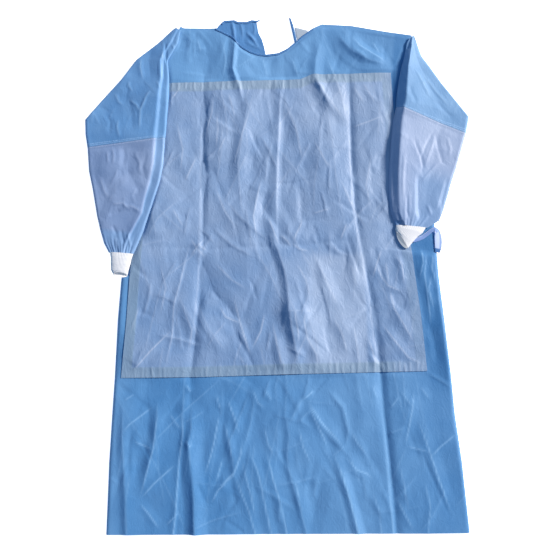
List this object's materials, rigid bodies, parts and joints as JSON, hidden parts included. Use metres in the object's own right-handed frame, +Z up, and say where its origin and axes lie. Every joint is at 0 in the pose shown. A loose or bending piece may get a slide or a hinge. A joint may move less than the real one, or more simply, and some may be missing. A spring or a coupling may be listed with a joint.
{
  "type": "surgical gown",
  "caption": "Long-sleeved surgical gown laid flat with its front up: reinforced front and sleeves, knit cuffs, bound neck with a fastening tab, and a waist tie.",
  "frame": {"origin": "on the surface that the gown lies on, under the middle of its bounding box", "axes": "+Y from the hem to the neck, +Z up out of the surface, +X to the right as seen from above"},
  "size_m": [0.964, 1.2645, 0.028],
  "materials": {
    "blue_nonwoven": "matt blue nonwoven cloth with packing creases",
    "lavender_reinforcement": "matt greyish lavender-blue film-backed nonwoven",
    "white_knit": "white ribbed knit",
    "neck_binding": "dark blue folded tape",
    "white_tab": "pale grey-white hook-and-loop tab",
    "pale_tie": "pale lavender-blue cloth strip"
  },
  "bodies": {
    "root": {"front": "blue_nonwoven", "back_left": "blue_nonwoven", "back_right": "blue_nonwoven", "front_reinforcement": "lavender_reinforcement", "sleeve_left_upper": "blue_nonwoven", "sleeve_left_lower": "lavender_reinforcement", "sleeve_right_upper": "blue_nonwoven", "sleeve_right_lower": "lavender_reinforcement", "cuff_left": "white_knit", "cuff_right": "white_knit", "neck_binding_front": "neck_binding", "neck_binding_left": "neck_binding", "neck_binding_right": "neck_binding", "neck_tab": "white_tab", "waist_tie": "pale_tie"}
  },
  "joints": []
}
